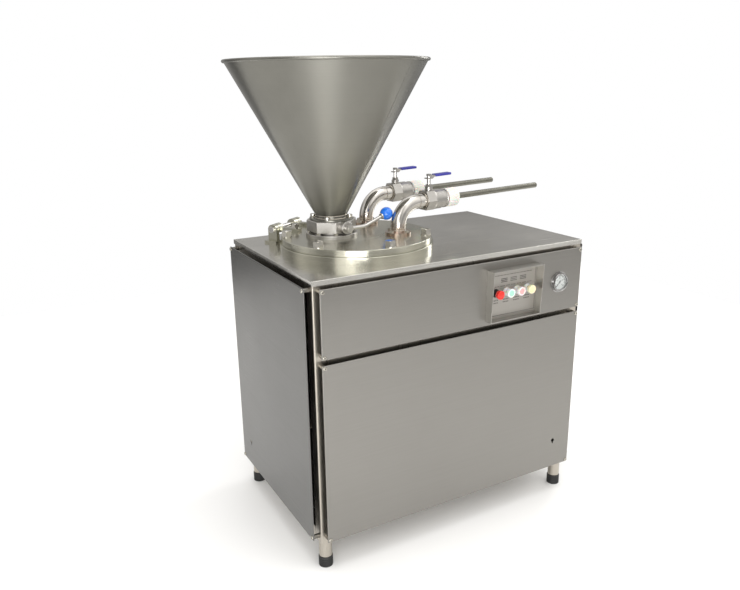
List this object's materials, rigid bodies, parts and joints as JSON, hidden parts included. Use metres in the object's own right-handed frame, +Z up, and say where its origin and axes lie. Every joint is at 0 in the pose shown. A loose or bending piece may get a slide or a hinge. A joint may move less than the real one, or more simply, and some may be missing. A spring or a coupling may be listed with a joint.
{
  "type": "sausage stuffer",
  "caption": "Floor-standing hydraulic sausage stuffer: panelled cabinet, hinged round lid with cone hopper, elbow outlets with ball valves, and stuffing tubes.",
  "frame": {"origin": "on the floor, under the middle of the outline of the whole machine", "axes": "+Z up, +X to the right along the front, towards the mouths of the stuffing tubes, +Y from the control side to the rear"},
  "size_m": [1.1544, 0.7408, 1.516],
  "materials": {
    "stainless_frame": "satin, square tube with rounded edges",
    "stainless_panel": "brushed sheet",
    "worktop_steel": "brushed sheet, reflective",
    "lid_steel": "turned and polished",
    "hopper_steel": "satin",
    "polished_steel": "polished",
    "cast_steel": "cast, bead blasted",
    "tube_steel": "drawn tube",
    "fastener_steel": "bright",
    "foot_rubber": "ribbed, matt",
    "seal_rubber": "food grade",
    "nylon_white": "turned nylon",
    "knob_blue": "glossy",
    "sleeve_blue": "dipped vinyl",
    "label_sheet": "printed sheet",
    "button_red": "glossy",
    "button_green": "white cap with a green centre",
    "button_rose": "white cap with a rose centre",
    "button_cream": "cream cap",
    "collar_plastic": "glossy",
    "gauge_steel": "bright",
    "dial_white": "white with black marks",
    "pointer_black": "matt",
    "gauge_glass": "clear",
    "hydraulic_steel": "machined",
    "tank_paint": "satin paint",
    "motor_paint": "satin paint",
    "pump_iron": "as cast",
    "gland_plastic": "moulded"
  },
  "bodies": {
    "cabinet": {"frame_tubes": "stainless_frame", "base_tray": "stainless_frame", "worktop": "worktop_steel", "front_upper_panel": "stainless_panel", "front_lower_panel": "stainless_panel", "left_panel": "stainless_panel", "right_panel": "stainless_panel", "rear_panel": "stainless_panel", "panel_standoffs": "stainless_frame", "panel_screws": "fastener_steel", "meat_barrel": "lid_steel", "lid_seal": "seal_rubber", "hinge_brackets": "lid_steel", "hinge_pin": "polished_steel", "control_hood": "stainless_panel", "control_plate": "label_sheet", "button_collars": "collar_plastic", "gauge_case": "gauge_steel", "gauge_dial": "dial_white", "gauge_lens": "gauge_glass", "hydraulic_cylinder": "hydraulic_steel", "oil_tank": "tank_paint", "pump_motor": "motor_paint", "oil_pump": "pump_iron", "valve_block": "hydraulic_steel", "oil_pipes": "hydraulic_steel", "cable_gland": "gland_plastic"},
    "foot_fl": {"foot_front_left": "foot_rubber"},
    "foot_fr": {"foot_front_right": "foot_rubber"},
    "foot_rl": {"foot_rear_left": "foot_rubber"},
    "foot_rr": {"foot_rear_right": "foot_rubber"},
    "lid": {"lid_plate": "lid_steel", "lid_bolts": "fastener_steel", "hinge_arms": "lid_steel", "hopper": "hopper_steel", "hopper_valve_body": "cast_steel", "flange_screws": "fastener_steel", "outlet_elbows": "polished_steel", "outlet_valve_bodies": "cast_steel", "stuffing_tubes": "tube_steel"},
    "hopper_valve": {"hopper_valve_disc": "polished_steel", "hopper_valve_lever": "polished_steel", "hopper_valve_knob": "knob_blue"},
    "front_valve": {"front_valve_ball": "polished_steel", "front_valve_lever": "cast_steel", "front_lever_sleeve": "sleeve_blue"},
    "rear_valve": {"rear_valve_ball": "polished_steel", "rear_valve_lever": "cast_steel", "rear_lever_sleeve": "sleeve_blue"},
    "front_nut": {"front_tube_nut": "nylon_white"},
    "rear_nut": {"rear_tube_nut": "nylon_white"},
    "piston_unit": {"piston": "hydraulic_steel", "piston_seal": "seal_rubber", "piston_rod": "polished_steel"},
    "stop_key": {"stop_button": "button_red"},
    "start_key": {"start_button": "button_green"},
    "press_key": {"press_button": "button_rose"},
    "return_key": {"return_button": "button_cream"},
    "pointer": {"gauge_pointer": "pointer_black"},
    "drive": {"drive_coupling": "pump_iron"}
  },
  "joints": [
    {"name": "foot_fl_turn", "type": "hinge", "parent": "cabinet", "child": "foot_fl", "pos_m": [-0.47018, -0.284, 0.06], "axis": [0, 0, 1], "continuous": true},
    {"name": "foot_fr_turn", "type": "hinge", "parent": "cabinet", "child": "foot_fr", "pos_m": [0.47382, -0.284, 0.06], "axis": [0, 0, 1], "continuous": true},
    {"name": "foot_rl_turn", "type": "hinge", "parent": "cabinet", "child": "foot_rl", "pos_m": [-0.47018, 0.294, 0.06], "axis": [0, 0, 1], "continuous": true},
    {"name": "foot_rr_turn", "type": "hinge", "parent": "cabinet", "child": "foot_rr", "pos_m": [0.47382, 0.294, 0.06], "axis": [0, 0, 1], "continuous": true},
    {"name": "lid_hinge", "type": "hinge", "parent": "cabinet", "child": "lid", "pos_m": [-0.33768, 0.24083, 0.975], "axis": [-0.8387, -0.5446, 0], "range_deg": [0, 80]},
    {"name": "hopper_valve_turn", "type": "hinge", "parent": "lid", "child": "hopper_valve", "pos_m": [-0.26118, 0.035, 1.007], "axis": [0.1219, -0.9925, 0], "range_deg": [0, 40]},
    {"name": "front_valve_turn", "type": "hinge", "parent": "lid", "child": "front_valve", "pos_m": [0.05785, -0.05216, 1.068], "axis": [0, 0, -1], "range_deg": [0, 90]},
    {"name": "rear_valve_turn", "type": "hinge", "parent": "lid", "child": "rear_valve", "pos_m": [0.05585, 0.15884, 1.068], "axis": [0, 0, -1], "range_deg": [0, 90]},
    {"name": "front_nut_spin", "type": "hinge", "parent": "lid", "child": "front_nut", "pos_m": [0.14718, -0.04119, 1.068], "axis": [0.9925, 0.1219, 0], "continuous": true},
    {"name": "rear_nut_spin", "type": "hinge", "parent": "lid", "child": "rear_nut", "pos_m": [0.14518, 0.16981, 1.068], "axis": [0.9925, 0.1219, 0], "continuous": true},
    {"name": "piston_slide", "type": "slide", "parent": "cabinet", "child": "piston_unit", "axis": [0, 0, 1], "range_m": [0, 0.285]},
    {"name": "stop_button_press", "type": "slide", "parent": "cabinet", "child": "stop_key", "axis": [0, 1, 0], "range_m": [0, 0.004], "stiffness_N_per_m": 500},
    {"name": "start_button_press", "type": "slide", "parent": "cabinet", "child": "start_key", "axis": [0, 1, 0], "range_m": [0, 0.004], "stiffness_N_per_m": 500},
    {"name": "press_button_press", "type": "slide", "parent": "cabinet", "child": "press_key", "axis": [0, 1, 0], "range_m": [0, 0.004], "stiffness_N_per_m": 500},
    {"name": "return_button_press", "type": "slide", "parent": "cabinet", "child": "return_key", "axis": [0, 1, 0], "range_m": [0, 0.004], "stiffness_N_per_m": 500},
    {"name": "gauge_pointer_turn", "type": "hinge", "parent": "cabinet", "child": "pointer", "pos_m": [0.39182, -0.3344, 0.802], "axis": [0, 1, 0], "range_deg": [0, 270], "stiffness_Nm_per_rad": 0.0002},
    {"name": "drive_spin", "type": "hinge", "parent": "cabinet", "child": "drive", "pos_m": [0.17182, 0.01, 0.492], "axis": [1, 0, 0], "continuous": true}
  ]
}
